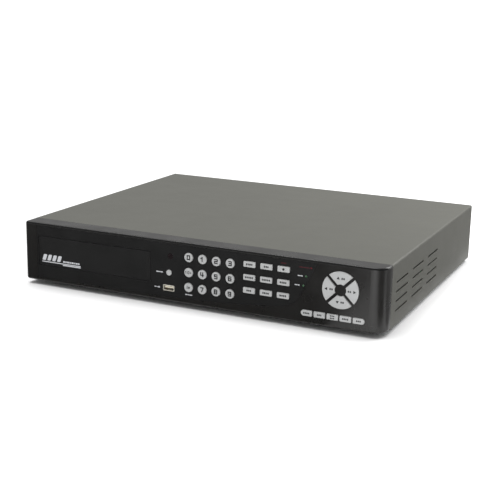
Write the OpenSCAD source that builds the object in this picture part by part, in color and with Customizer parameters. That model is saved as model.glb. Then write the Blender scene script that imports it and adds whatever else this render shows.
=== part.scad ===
/* [Case] */
// Width of the case and of the front bezel
body_w = 430; // [424:1:440]
// Height of the case, feet not counted
case_h = 68; // [68:1:74]
// Depth from the front of the bezel to the rear panel
case_d = 350; // [345:1:380]
// Height of the rubber feet under the case
foot_h = 5; // [4:0.5:8]
// Thickness of the folded steel sheet
sheet = 1.2; // [0.8:0.1:1.4]
// Outer bend radius along the top edges of the cover
cover_bend = 2.5; // [2:0.1:4]

/* [Bezel] */
// Depth of the moulded front bezel
bezel_d = 20.5; // [19:0.5:26]
// Radius of the right upright corner of the bezel
bezel_corner = 16; // [12:1:18]
// Radius of the left upright corner of the bezel
bezel_left_corner = 4; // [3.5:0.5:12]
// Wall thickness of the bezel
bezel_wall = 3; // [2.6:0.1:3.2]
// Edge rounding along the top and the bottom of the bezel
bezel_edge = 2.8; // [0.8:0.2:3]
// Thickness of the printed sheet inlaid in the bezel
overlay_t = 0.6; // [0.4:0.1:0.8]
// Width of the groove round the inlaid sheet
overlay_groove = 0.4; // [0.3:0.1:0.6]

/* [Keys] */
// How far the keys stand proud of the bezel
key_proud = 1.2; // [0.8:0.1:1.5]
// How far a key travels when it is pushed
key_travel = 0.8; // [0.4:0.1:1]
// Gap all round a key in its hole
key_gap = 0.3; // [0.25:0.05:0.4]
// Diameter of the round number keys
number_key_d = 10; // [9:0.5:11]
// Distance between number keys across
number_pitch_x = 16.3; // [15:0.1:17]
// Distance between number keys down
number_pitch_z = 16.55; // [15:0.05:17]
// Width of the function keys
function_key_w = 13.4; // [11:0.1:14.5]
// Height of the function keys
function_key_h = 6; // [5:0.1:7.5]
// Distance between function keys across
function_pitch_x = 19.2; // [17:0.1:19.6]
// Distance between function keys down
function_pitch_z = 14.05; // [12:0.05:14.5]
// Outer diameter of the ring of four arrow keys
arrow_ring_d = 38.7; // [36:0.1:40]
// Diameter of the plain disc inside the arrow ring
arrow_core_d = 12.4; // [11:0.1:14]
// Width of the spokes between the arrow keys
arrow_spoke = 3.2; // [2.8:0.1:3.6]

/* [Disc drive] */
// Width of the tray fascia
fascia_w = 145.5; // [140:0.5:147]
// Height of the tray fascia
fascia_h = 32.8; // [28:0.1:34]
// How far the disc tray slides out
tray_travel = 140; // [100:5:140]

/* [Rear] */
// How far the video jacks stand out behind the rear panel
jack_len = 12; // [10:0.5:14]
// Number of video input columns, two jacks in each
video_columns = 8; // [4:1:8]
// Side of the square cooling fan
fan_side = 50; // [40:1:50]
// How far the power rocker tips from one side to the other
rocker_swing = 24; // [16:1:24]

/* [Hidden] */
$fn = 64;
small_fn = 24;
eps = 0.01;

case_z = foot_h;
case_top = case_z + case_h;
front_y = -(key_proud + case_d + jack_len) / 2 + key_proud;
seam_y = front_y + bezel_d;
back_y = front_y + case_d;
half_w = body_w / 2;
floor_z = case_z + sheet;
panel_y = back_y - sheet;
inner_top = case_top - sheet;
inner_half = half_w - sheet - 0.3;
edge_drop = 0.8;

// M3 pan head screws: diameter and length of head and shank, and the hole that clears the shank
screw_head = [5.6, 2];
screw_shank = [2.9, 5.5];
screw_hole_d = 3.2;

seam_gap = 0.3;
flange_t = 1.2;
flange_gap = 0.3;
flange_grow = 0.7;
stem_d = 3.6;
stem_len = 3;
cap_chamfer = 0.35;
flange_y = bezel_wall + flange_gap;
stem_end = flange_y + flange_t + stem_len;
plunger_y = stem_end + key_travel + flange_gap;
plunger_h = 0.9;
switch_h = 3.4;
board_y = plunger_y + plunger_h + switch_h;
board_t = 1.6;

number_pitch = [number_pitch_x, number_pitch_z];
function_key = [function_key_w, function_key_h];
function_pitch = [function_pitch_x, function_pitch_z];
fascia = [fascia_w, fascia_h];
// A drive of the 5.25 inch size: width, height and depth
drive_size = [146, 41.3, 170];

// Centre of each group on the front, from the middle of the bezel and its lower edge
number_origin = [-3, 52.4];
function_origin = [68, 54.3];
arrow_centre = [168.3, 40.8];
mode_origin = [132.9, 11.7];
mode_pitch = 14;
mode_key = [12.2, 6];
eject_at = [-26.9, 32.6];
eject_d = 6.2;
usb_at = [-27.4, 15.1];
usb_shell = [13.1, 5.7];
ir_at = [-25.5, 50.7];
ir_d = 6.6;
led_at = [[136.2, 59.1], [130.9, 49.9], [128.2, 39.9]];
led_d = 2.6;
fascia_at = [-123.25, 36.3];

// Every key: name, outline, centre, width or turn, height, radius of its left and right ends
function grid_at(origin, pitch, column, row) = origin + [column * pitch[0], -row * pitch[1]];
NUMBER_NAMES = ["number_key_0", "number_key_1", "number_key_2", "number_key_3",
                "tens_key", "number_key_4", "number_key_5", "number_key_6",
                "auxiliary_key", "number_key_7", "number_key_8", "number_key_9"];
corner_r = 0.8;
NUMBER_KEYS = [for (i = [0:11]) [NUMBER_NAMES[i], "round",
    grid_at(number_origin, number_pitch, i % 4, floor(i / 4)), number_key_d]];
FUNCTION_KEYS = [for (i = [0:8]) [str("function_key_", i + 1), "bar",
    grid_at(function_origin, function_pitch, i % 3, floor(i / 3)), function_key, corner_r, corner_r]];
MODE_KEYS = [for (i = [0:4]) [str("mode_key_", i + 1), "bar", mode_origin + [i * mode_pitch, 0],
    mode_key, i == 0 ? mode_key[1] / 2 : corner_r, i == 4 ? mode_key[1] / 2 : corner_r]];
ARROW_NAMES = ["up_key", "left_key", "down_key", "right_key"];
ARROW_KEYS = [for (i = [0:3]) [ARROW_NAMES[i], "sector", arrow_centre, 90 * i]];
EJECT_KEY = ["eject_button", "round", eject_at, eject_d];
KEYS = concat(NUMBER_KEYS, FUNCTION_KEYS, MODE_KEYS, ARROW_KEYS, [EJECT_KEY]);

// Rear connectors, from the middle of the panel and the lower edge of the case
panel_gap = 0.4;
jack_rows = [18, 38];
video_out_x = -14;
video_in_x = 8;
video_pitch = 16;
jack_shell_d = 9.7;
jack_bore_d = 8.1;
jack_collar_d = 12.4;
jack_block = 14;
audio_x = 140;
audio_pitch = 14;
audio_rows = [18, 34];
audio_shell_d = 8.3;
audio_collar_d = 10.3;
vga_at = [-44, 18];
vga_screw_pitch = 25;
vga_pillar_d = 5;
lan_size = [16, 13.5, 21];
lan_at = [-75, 15.6];
alarm_at = [189, 16.5];
alarm_ways = 8;
alarm_pitch = 3.5;
alarm_size = [alarm_ways * alarm_pitch + 2, 15];
inlet_at = [-180, 26];
rocker_at = [-148, 26];
fan_at = [-112, 36];
fan_d = 15;
fan_holes = [for (x = [-20, 20], z = [-20, 20]) fan_at + [x, z]];

low_screw_x = 208.5;
rear_screws = [[-205, 62], [-60, 62], [70, 62], [205, 62], [-low_screw_x, 6.5], [low_screw_x, 6.5]];
drive_screws = [for (x = [49.3, 144.7], y = [-138, -96.4]) [x, y]];
main_board_x = [-85, 206];
main_board_y = [14, panel_y - 2];
board_posts = [for (x = [-78, 70, 198], y = [22, 146]) [x, y]];
main_board_z = floor_z + 6;
board_top = main_board_z + board_t - case_z;
hard_drive_at = [97, -84];
hard_drive_size = [101.6, 147, 26.1];
hard_drive_pad = 2;
foot_at = [for (x = [-180, 180], y = [front_y + 38, back_y - 38]) [x, y]];

// The lower right border of the inlaid sheet: a long rise, a round turn, then a slant to the top
sweep_from = -80;
sweep_low = 4.6;
sweep_rise = 0.000287;
turn_start = 104;
turn_centre = [100.5, 43.2];
turn_r = 28.6;
slant_tilt = 25.5;
overlay_side = half_w - bezel_corner - 1;
overlay_top = case_h - bezel_edge - 0.6;
function sweep(x) = sweep_low + sweep_rise * pow(max(x - sweep_from, 0), 2);
function turn_point(a) = turn_centre + turn_r * [sin(a), -cos(a)];
turn_end = turn_point(90 - slant_tilt);
slant_top = [turn_end[0] + (overlay_top - turn_end[1]) * tan(slant_tilt), overlay_top];

// A rectangle with rounded corners, of one radius at its left end and another at its right
module round_rect(size, r_left, r_right) {
    half = size / 2;
    for (side = [-1, 1]) {
        r = side < 0 ? r_left : r_right;
        for (up = [-1, 1])
            translate([side * (half[0] - r), up * (half[1] - r)]) circle(r);
        if (size[1] > 2 * r)
            translate([side < 0 ? -half[0] : half[0] - r, -half[1] + r]) square([r, size[1] - 2 * r]);
    }
    translate([-half[0] + r_left, -half[1]])
        square([size[0] - r_left - r_right, size[1]]);
}

// A flat outline on the front, drawn as width and height, swept back from a depth behind the front
module front_slab(start, thick) {
    translate([0, front_y + start + thick, case_z])
        rotate([90, 0, 0]) linear_extrude(thick) children();
}

// The same on the rear panel: start is measured forwards of the panel's outer face, minus is outside
module rear_slab(start, thick) {
    translate([0, back_y - start, case_z])
        rotate([90, 0, 0]) linear_extrude(thick) children();
}

module post(at, d, z_low, z_high) {
    translate([at[0], at[1], z_low]) cylinder(d = d, h = z_high - z_low);
}

module block(low, high) {
    translate(low) cube(high - low);
}

module screw_holes(spots) {
    for (at = spots) translate(at) circle(d = screw_hole_d, $fn = small_fn);
}

// ---------------------------------------------------------------- keys

module sector(grow) {
    reach = arrow_ring_d;
    tip = (arrow_spoke / 2 - grow) * sqrt(2);
    intersection() {
        difference() {
            circle(d = arrow_ring_d + 2 * grow);
            circle(d = arrow_core_d - 2 * grow);
        }
        polygon([[0, tip], [reach, tip + reach], [-reach, tip + reach]]);
    }
}

module key_outline(key, grow) {
    translate(key[2]) {
        if (key[1] == "round") circle(d = key[3] + 2 * grow);
        if (key[1] == "bar") round_rect(key[3] + 2 * [grow, grow], key[4] + grow, key[5] + grow);
        if (key[1] == "sector") rotate(key[3]) sector(grow);
    }
}

// Where the key's stem meets its switch
function stem_at(key) = key[1] != "sector" ? key[2]
    : key[2] + (arrow_ring_d + arrow_core_d) / 4 * [-sin(key[3]), cos(key[3])];

module push_key(key) {
    color("gainsboro") {
        front_slab(-key_proud, cap_chamfer) key_outline(key, -cap_chamfer);
        front_slab(-key_proud + cap_chamfer, key_proud - cap_chamfer + flange_y) key_outline(key, 0);
        front_slab(flange_y, flange_t) key_outline(key, flange_grow);
        front_slab(flange_y + flange_t, stem_len) translate(stem_at(key)) circle(d = stem_d);
    }
}

// ---------------------------------------------------------------- front

module overlay_outline(grow) {
    border = concat([for (x = [sweep_from:16:turn_start - 8]) [x, sweep(x) - grow]],
        [for (a = [6:8.75:58.5]) turn_point(a) + grow * [sin(a), -cos(a)]],
        [turn_end + [grow, -grow / 2], slant_top + [grow, grow],
         [-overlay_side - grow, overlay_top + grow], [-overlay_side - grow, sweep_low - grow]]);
    polygon(border);
}

module fascia_outline(grow) {
    translate(fascia_at) round_rect(fascia + 2 * [grow, grow], corner_r + grow, corner_r + grow);
}

module usb_outline(grow) {
    translate(usb_at) round_rect(usb_shell + 2 * [grow, grow], 0.6 + grow, 0.6 + grow);
}

// Everything that the bezel and the inlaid sheet are cut out for
module front_openings() {
    for (key = KEYS) key_outline(key, key_gap);
    fascia_outline(0.5);
    usb_outline(0.25);
    translate(ir_at) circle(d = ir_d + 0.1);
    for (at = led_at) translate(at) circle(d = led_d + 0.1);
}

// The bezel's outer form: a bar with two round upright corners and rounded long edges
bezel_corners = [[-1, bezel_left_corner], [1, bezel_corner]];

module bezel_corner_disc(r) {
    rotate_extrude() {
        square([r - bezel_edge, case_h]);
        translate([0, bezel_edge]) square([r, case_h - 2 * bezel_edge]);
        for (z = [bezel_edge, case_h - bezel_edge])
            translate([r - bezel_edge, z]) intersection() {
                circle(bezel_edge, $fn = 48);
                translate([0, -bezel_edge]) square(2 * bezel_edge);
            }
    }
}

module bezel_bar_profile(length) {
    square([length - bezel_edge, case_h]);
    translate([0, bezel_edge]) square([length, case_h - 2 * bezel_edge]);
    for (z = [bezel_edge, case_h - bezel_edge])
        translate([length - bezel_edge, z]) circle(bezel_edge, $fn = 48);
}

module bezel_form() {
    for (corner = bezel_corners) {
        side = corner[0];
        r = corner[1];
        intersection() {
            translate([side * (half_w - r), front_y + r, case_z]) bezel_corner_disc(r);
            block([-half_w, front_y, case_z], [half_w, seam_y, case_top]);
        }
        translate([side * (half_w - r), seam_y, case_z])
            rotate([90, 0, 0]) linear_extrude(bezel_d - r)
                mirror([side < 0 ? 1 : 0, 0]) bezel_bar_profile(r);
    }
    translate([-half_w + bezel_left_corner, seam_y, case_z]) rotate([90, 0, 90])
        linear_extrude(body_w - bezel_left_corner - bezel_corner)
            mirror([1, 0]) bezel_bar_profile(bezel_d);
}

module bezel_hollow() {
    span = half_w - bezel_wall;
    low = case_z + bezel_wall;
    high = case_top - bezel_wall;
    for (corner = bezel_corners) {
        side = corner[0];
        r = corner[1];
        far = side * span;
        start = side * (half_w - r);
        translate([start, front_y + r, low]) cylinder(r = r - bezel_wall, h = high - low);
        block([min(0, far), front_y + r, low], [max(0, far), seam_y + 1, high]);
        block([min(0, start), front_y + bezel_wall, low], [max(0, start), seam_y + 1, high]);
    }
}

post_d = 5;
bezel_posts = [[57, 62], [57, 8], [118, 27], [-14, 60], [-12, 7], [196, 57], [150, 22]];

module front_bezel() {
    color("#202022") {
        difference() {
            bezel_form();
            bezel_hollow();
            front_slab(-1, overlay_t + 1) overlay_outline(overlay_groove);
            front_slab(-1, bezel_wall + 2) front_openings();
        }
        // Posts that hold the key board behind the bezel
        front_slab(bezel_wall - 0.1, board_y - bezel_wall + 0.1) for (at = bezel_posts)
            translate(at) difference() {
                circle(d = post_d, $fn = small_fn);
                circle(d = screw_shank[0] + 0.1, $fn = small_fn);
            }
    }
}

module front_overlay() {
    color("#161618") front_slab(0, overlay_t) difference() {
        overlay_outline(0);
        front_openings();
    }
}

module ir_window() {
    sunk = 0.1;
    rim_t = 1.5;
    color("#100608") {
        front_slab(sunk, bezel_wall) translate(ir_at) circle(d = ir_d);
        front_slab(bezel_wall + sunk, rim_t) translate(ir_at) circle(d = ir_d + 2 * rim_t);
    }
}

module led_lamp(at) {
    // The dome stands a little proud of the front, and a rim sits on the key board
    proud = 0.4;
    dome = led_d / 2 - proud;
    rim = [led_d + 0.8, 1.2];
    translate([at[0], front_y, case_z + at[1]]) rotate([-90, 0, 0]) {
        translate([0, 0, dome]) cylinder(d = led_d, h = board_y - dome);
        intersection() {
            translate([0, 0, dome]) sphere(d = led_d);
            translate([0, 0, -1]) cylinder(d = rim[0], h = dome + 2);
        }
        translate([0, 0, board_y - rim[1]]) cylinder(d = rim[0], h = rim[1]);
    }
}

module indicator_leds() {
    color("palegreen") for (at = led_at) led_lamp(at);
}

// The key board: its lower left corner and size, with a notch round the USB port's body
key_board_at = [-48, 4.5];
key_board_size = [250, 59];
usb_notch_at = [-36, 4];
usb_notch = 17;
switch_side = 6;
plunger_d = 3.4;

module tact_switch(at) {
    front_slab(board_y - switch_h, switch_h) translate(at) square(switch_side, center = true);
    front_slab(plunger_y, plunger_h + 0.1) translate(at) circle(d = plunger_d, $fn = small_fn);
}

module key_board() {
    receiver = [6, 7];
    receiver_y = 6;
    color("darkgreen") front_slab(board_y, board_t) difference() {
        translate(key_board_at) square(key_board_size);
        translate(usb_notch_at) square(usb_notch);
        screw_holes(bezel_posts);
    }
    color("dimgray") {
        for (key = KEYS) tact_switch(stem_at(key));
        // Infra-red receiver behind its window
        front_slab(receiver_y, board_y - receiver_y) translate(ir_at) square(receiver, center = true);
    }
}

usb_depth = 14;
usb_cavity = 10;
usb_sunk = 0.3;
module front_usb_port() {
    wall = 0.4;
    tongue = [10.8, 1.7];
    tongue_sunk = 1.2;
    tongue_up = 0.8;
    color("silver") {
        difference() {
            front_slab(usb_sunk, usb_depth) usb_outline(0);
            front_slab(0, usb_cavity) usb_outline(-wall);
        }
        front_slab(tongue_sunk, usb_cavity) translate(usb_at + [0, tongue_up]) square(tongue, center = true);
    }
}

// ---------------------------------------------------------------- disc drive

fascia_bevel = 4.5;
fascia_bevel_drop = 0.5;
module tray_fascia() {
    half = fascia[0] / 2;
    boss = [12, 2.4];
    boss_len = 8;
    boss_at = [50, 7];
    color("#1a1a1c") {
        intersection() {
            front_slab(0, bezel_wall) fascia_outline(0);
            translate([fascia_at[0], front_y, case_z]) linear_extrude(case_h)
                polygon([[-half, fascia_bevel_drop], [-half + fascia_bevel, 0],
                         [half - fascia_bevel, 0], [half, fascia_bevel_drop],
                         [half, bezel_wall], [-half, bezel_wall]]);
        }
        // Clip bosses over and under the tray's front edge
        for (x = [-boss_at[0], boss_at[0]], z = [-boss_at[1], boss_at[1]])
            front_slab(bezel_wall, boss_len) translate(fascia_at + [x, z]) square(boss, center = true);
    }
}

tray_w = 132;
tray_len = 164;
tray_t = 9;
tray_z = fascia_at[1] - tray_t / 2;
tray_seat = [fascia_at[0], front_y + bezel_wall + 72];
disc_d = 121;
small_disc_d = 81;
disc_sunk = 1.4;
small_disc_sunk = 2.4;
module disc_tray() {
    low = case_z + tray_z;
    top = low + tray_t;
    start = front_y + bezel_wall;
    half = tray_w / 2;
    rail = 5;
    deck = 4;
    hub_d = 36;
    laser_slot = [36, 56];
    color("#2a2a2c") difference() {
        block([fascia_at[0] - half, start, low], [fascia_at[0] + half, start + tray_len, top]);
        // Hollow underside between two side rails
        block([fascia_at[0] - half + rail, start + deck, low - 1],
              [fascia_at[0] + half - rail, start + tray_len - deck, top - deck]);
        // Seat for a full-size disc, with a deeper ring for a small one
        post(tray_seat, disc_d, top - disc_sunk, top + 1);
        post(tray_seat, small_disc_d, top - small_disc_sunk, top + 1);
        // Opening for the spindle and the laser
        post(tray_seat, hub_d, low - 1, top + 1);
        block([tray_seat[0] - laser_slot[0] / 2, tray_seat[1], low - 1],
              [tray_seat[0] + laser_slot[0] / 2, tray_seat[1] + laser_slot[1], top + 1]);
    }
}

drive_low = case_z + fascia_at[1] - drive_size[1] / 2;
drive_start = seam_y + 2;
drive_end = seam_y + drive_size[2];
drive_wall = 1;
bracket_y = [seam_y + 8, seam_y + 150];
bracket_gap = 0.3;
bracket_out = drive_size[0] / 2 + bracket_gap + sheet;
bracket_screws = [bracket_y[0] + 30, bracket_y[0] + 90];
bracket_screw_z = drive_low + 10;

module bracket_screw_holes(d) {
    for (y = bracket_screws) translate([fascia_at[0], y, bracket_screw_z])
        rotate([0, 90, 0]) cylinder(d = d, h = 2 * bracket_out + 2, center = true, $fn = small_fn);
}

module optical_drive() {
    half = drive_size[0] / 2;
    x = fascia_at[0];
    high = drive_low + drive_size[1];
    tray_low = case_z + tray_z;
    rail_in = tray_w / 2 + 0.6;
    mouth_top = 6;
    // Sockets in the back: left edge from the middle, width, lower and upper edge
    socket_x = [-55, 20];
    socket_w = 30;
    socket_z = [8, 15];
    // Laser deck and turntable: half width, gap to the front and the back, top
    deck_half = 55;
    deck_gap = [30, 18];
    deck_top = 8;
    turntable_d = 30;
    color("silver") {
        difference() {
            block([x - half, drive_start, drive_low], [x + half, drive_end, high]);
            block([x - half + drive_wall, drive_start + drive_wall, drive_low + drive_wall],
                  [x + half - drive_wall, drive_end - drive_wall, high - drive_wall]);
            // Mouth for the tray
            block([x - rail_in, drive_start - 1, tray_low - 2],
                  [x + rail_in, drive_start + 2, high - mouth_top]);
            for (at = socket_x)
                block([x + at, drive_end - 2, drive_low + socket_z[0]],
                      [x + at + socket_w, drive_end + 1, drive_low + socket_z[1]]);
            bracket_screw_holes(screw_hole_d);
        }
        block([x - deck_half, drive_start + deck_gap[0], drive_low + drive_wall - eps],
              [x + deck_half, drive_end - deck_gap[1], drive_low + deck_top]);
        post(tray_seat, turntable_d, drive_low + deck_top - 1, tray_low - 2);
        // Rails on both sides of the tray, behind the mounting screws' ends
        for (side = [-1, 1])
            translate([x + side * (rail_in + half - drive_wall + eps) / 2, 0, 0])
                rail_block(half - drive_wall + eps - rail_in, tray_low - 2, tray_low + tray_t);
    }
}

module rail_block(width, low, high) {
    block([-width / 2, drive_start + drive_wall - eps, low], [width / 2, drive_end - drive_wall + eps, high]);
}

module drive_bracket() {
    inner = bracket_out - sheet;
    middle = bracket_out - sheet / 2;
    shelf = drive_low - bracket_gap;
    top = drive_low + 30;
    depth = bracket_y[1] - bracket_y[0];
    foot_w = 9;
    window_half = 50;
    window_gap = 25;
    color("lightsteelblue") difference() {
        translate([fascia_at[0], bracket_y[1], 0]) rotate([90, 0, 0]) linear_extrude(depth) {
            for (side = [-1, 1]) translate([side * middle, 0]) {
                translate([-sheet / 2, floor_z]) square([sheet, top - floor_z]);
                translate([side < 0 ? -foot_w : -sheet / 2, floor_z]) square([foot_w + sheet / 2, sheet]);
            }
            translate([-middle, shelf - sheet]) square([2 * middle, sheet]);
        }
        // A window that lightens the shelf
        block([fascia_at[0] - window_half, bracket_y[0] + window_gap, shelf - sheet - 1],
              [fascia_at[0] + window_half, bracket_y[1] - window_gap, shelf + 1]);
        bracket_screw_holes(screw_hole_d);
    }
}

module hard_drive() {
    low = floor_z + hard_drive_pad;
    size = hard_drive_size;
    corner = [hard_drive_at[0] - size[0] / 2, hard_drive_at[1] - size[1] / 2, low];
    top = low + size[2];
    ledge = [4, 120];
    ledge_from = [12, 19];
    spindle = hard_drive_at + [0, -22];
    well_d = 84;
    well_sunk = 0.6;
    boss_d = 30;
    color("silver") {
        difference() {
            translate(corner) cube(size);
            for (at = drive_screws) post(at, screw_hole_d, low - 1, low + 5);
            // Stepped edges of the casting and the shallow well round the spindle
            for (x = [0, size[0] - ledge[0]]) translate(corner + [x - 1, ledge_from[0], ledge_from[1]])
                cube([ledge[0] + 1, ledge[1], size[2]]);
            post(spindle, well_d, top - well_sunk, top + 1);
        }
        post(spindle, boss_d, top - 1, top);
    }
}

// ---------------------------------------------------------------- boards and wiring

// A part that stands on a board: its lower left corner in plan, then width, depth and height
module standing(at, size, z) {
    translate([at[0], at[1], z]) cube(size);
}

lead_top = 7;
module main_board() {
    z = main_board_z + board_t;
    sink_at = [44, 52];
    sink = [40, 40, 6];
    fin = [2.2, 40, 14];
    fins = 8;
    fin_pitch = (sink[0] - fin[0]) / (fins - 1);
    memory = [11, 18, 1.2];
    chip = [14, 14, 1.6];
    capacitor = [8, 14];
    clock_cell = [20, 3.2];
    color("darkgreen") difference() {
        block([main_board_x[0], main_board_y[0], main_board_z], [main_board_x[1], main_board_y[1], z]);
        for (at = board_posts) post(at, screw_hole_d, main_board_z - 1, z + 1);
    }
    // Video encoder under its finned heat sink
    color("gray") {
        standing(sink_at, sink, z);
        for (i = [0:fins - 1]) standing(sink_at + [i * fin_pitch, 0], fin, z + sink[2]);
    }
    // Memory, the network chip, and a video decoder for every four inputs
    color("#222222") {
        for (x = [100, 116]) standing([x, 58], memory, z);
        standing([-30, 90], chip, z);
        for (x = [8:32:104]) standing([x, 112], chip, z);
        // Headers for the key board's lead, the hard drive's lead and the supply lead
        standing([28, 19], [18, 8, lead_top], z);
        standing([58, 27], [13, 6, lead_top], z);
        standing([-68, 28], [12, 14, lead_top], z);
    }
    color("silver") post([-40, 60], clock_cell[0], z, z + clock_cell[1]);
    color("black") for (x = [130, 146, 162]) post([x, 60], capacitor[0], z, z + capacitor[1]);
}

supply_low = [-208, 28];
supply_high = [-124, 138];
module power_supply() {
    low = floor_z + 6;
    z = low + board_t;
    transformer = [34, 32, 28.4];
    heat_sinks = [[[-176, 40], [30, 3, 32.4]], [[-146, 108], [3, 24, 28.4]]];
    mains_capacitor = [22, 34.4];
    output_capacitor = [12, 22.4];
    pillar_in = 5;
    pillar_d = 6;
    color("tan") block([supply_low[0], supply_low[1], low], [supply_high[0], supply_high[1], z]);
    color("goldenrod") standing([-186, 70], transformer, z);
    color("black") {
        post([-196, 50], mains_capacitor[0], z, z + mains_capacitor[1]);
        for (y = [46, 62, 78]) post([-133, y], output_capacitor[0], z, z + output_capacitor[1]);
    }
    color("silver") {
        for (sink = heat_sinks) standing(sink[0], sink[1], z);
        // Corner pillars down to the case floor
        for (x = [supply_low[0] + pillar_in, supply_high[0] - pillar_in],
             y = [supply_low[1] + pillar_in, supply_high[1] - pillar_in])
            post([x, y], pillar_d, floor_z, low);
    }
}

// A strip of one thickness along a line of points, with mitred corners
function unit(v) = v / norm(v);
function normal(points, i) = let(d = unit(points[i + 1] - points[i])) [-d[1], d[0]];
function miter(points, i) =
    i == 0 ? normal(points, 0)
    : i == len(points) - 1 ? normal(points, i - 1)
    : let(a = normal(points, i - 1), b = normal(points, i)) (a + b) / (1 + a * b);
module lead(points, thick) {
    last = len(points) - 1;
    polygon(concat([for (i = [0:last]) points[i] + miter(points, i) * thick / 2],
                   [for (i = [last:-1:0]) points[i] - miter(points, i) * thick / 2]));
}

// A flat lead that runs front to back, from its left edge; its points are depth and height
module lead_along(x, width, points, thick) {
    translate([x, 0, 0]) rotate([90, 0, 90]) linear_extrude(width) lead(points, thick);
}

module cable_harness() {
    z = main_board_z + board_t;
    plug_z = z + lead_top;
    behind_keys = front_y + board_y + board_t;
    behind_drive = hard_drive_at[1] + hard_drive_size[1] / 2;
    key_lead_t = 1;
    data_lead_t = 1.6;
    supply_lead_t = 2;
    // Flat lead from the key board, through the front wall, to the main board
    color("lightgray") lead_along(30, 14, [[behind_keys + 0.6, 26], [-100, 26], [-60, 30], [0, 30],
        [23, 27], [23, plug_z + 0.6]], key_lead_t);
    // Data lead of the hard drive
    color("firebrick") lead_along(60, 9, [[behind_drive + 0.9, 16], [behind_drive + 9, 17], [8, 26],
        [30, 26], [30, plug_z + 0.9]], data_lead_t);
    // Supply lead, from the power supply to the main board
    color("gold") translate([0, 40, 0]) rotate([90, 0, 0]) linear_extrude(10)
        lead([[-127, z + 1.2], [-112, z + 14], [-62, z + 14], [-62, plug_z + 1.1]], supply_lead_t);
}

// ---------------------------------------------------------------- case

vent_rows = 4;
vent_columns = 3;
vent_pitch = [57.6, 10.1];
vent_first = [56.25, 16];
vent_slot = [40, 2];

module cover_profile() {
    inner = cover_bend - sheet;
    difference() {
        translate([0, case_h / 2]) round_rect([body_w, case_h], cover_bend, cover_bend);
        translate([0, case_h / 2 - sheet]) round_rect([body_w - 2 * sheet, case_h], inner, inner);
        translate([-half_w - 1, -1]) square([body_w + 2, 1]);
        // The folded sheet ends square at the bottom, so the lower corners are cut straight
        translate([-half_w + sheet, -1]) square([body_w - 2 * sheet, cover_bend + 2]);
    }
    for (side = [-1, 1])
        translate([side * (half_w - sheet / 2) - sheet / 2, 0]) square([sheet, cover_bend + 1]);
}

lip_h = 10;
lip_in = 6;
module top_cover() {
    start = seam_y + seam_gap;
    color("#7a7b73") difference() {
        union() {
            translate([0, back_y, case_z]) rotate([90, 0, 0]) linear_extrude(back_y - start) cover_profile();
            // Lip folded down inside the rear panel, which the rear screws hold
            rear_slab(sheet + 0.1, sheet) translate([-half_w + lip_in, case_h - sheet - lip_h])
                square([body_w - 2 * lip_in, lip_h + 0.5]);
        }
        for (side = [-1, 1], column = [0:vent_columns - 1], row = [0:vent_rows - 1])
            translate([side * (half_w - sheet / 2), front_y + vent_first[0] + column * vent_pitch[0],
                       case_z + vent_first[1] + row * vent_pitch[1]])
                rotate([90, 0, 90]) linear_extrude(4 * sheet, center = true)
                    round_rect(vent_slot, vent_slot[1] / 2, vent_slot[1] / 2);
        rear_slab(sheet, 2 * sheet) screw_holes(rear_screws);
        // Notch in the lip for the fan frame
        rear_slab(sheet - 0.1, 2 * sheet) translate([fan_at[0] - fan_side / 2 - 1, case_h - sheet - lip_h - 1])
            square([fan_side + 2, lip_h - 2]);
    }
}

// Windows in the front wall of the chassis for two leads: lower left corner, width and height
lead_windows = [[[26, 16], [22, 10]], [[-36, 5], [17, 18]]];
module chassis_base() {
    end = panel_y - 0.1;
    flange_h = 10;
    tab = [8, 14];
    board_pillar_d = 7;
    drive_pad_d = 9;
    color("#9a9b96") difference() {
        union() {
            block([-inner_half, seam_y, case_z], [inner_half, end, floor_z]);
            for (side = [-1, 1]) translate([side * (inner_half - sheet / 2), 0, 0])
                block([-sheet / 2, seam_y, case_z], [sheet / 2, end, case_z + flange_h]);
            block([-inner_half, seam_y, case_z], [inner_half, seam_y + sheet, inner_top - edge_drop]);
            // Pressed pillars under the main board and pads under the hard drive
            for (at = board_posts) post(at, board_pillar_d, case_z, main_board_z);
            for (at = drive_screws) post(at, drive_pad_d, case_z, floor_z + hard_drive_pad);
            // Upturned tabs that take the two lower rear screws
            for (x = [-low_screw_x, low_screw_x])
                block([x - tab[0] / 2, end - sheet, case_z], [x + tab[0] / 2, end, case_z + tab[1]]);
        }
        for (at = board_posts) post(at, screw_hole_d, case_z - 1, main_board_z + 1);
        for (at = drive_screws) post(at, screw_hole_d, case_z - 1, floor_z + hard_drive_pad + 1);
        rear_slab(sheet, 3 * sheet) screw_holes(rear_screws);
        // Doorway for the optical drive and windows for the leads
        translate([0, seam_y + 2 * sheet, case_z]) rotate([90, 0, 0]) linear_extrude(3 * sheet) {
            translate(fascia_at) square([drive_size[0] + 2, drive_size[1] + 2], center = true);
            for (window = lead_windows) translate(window[0]) square(window[1]);
        }
    }
}

module foot(at) {
    r = 11;
    tread = 2.2;
    chamfer = [1.4, 0.8];
    cup_d = 8;
    cup_h = 2;
    translate([at[0], at[1], 0]) difference() {
        rotate_extrude() {
            polygon([[0, 0], [r - tread, 0], [r - chamfer[0], chamfer[1]], [r, foot_h], [0, foot_h]]);
        }
        translate([0, 0, -1]) cylinder(d = cup_d, h = cup_h + 1);
    }
}

module rubber_feet() {
    color("#1c1c1c") for (at = foot_at) foot(at);
}

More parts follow.
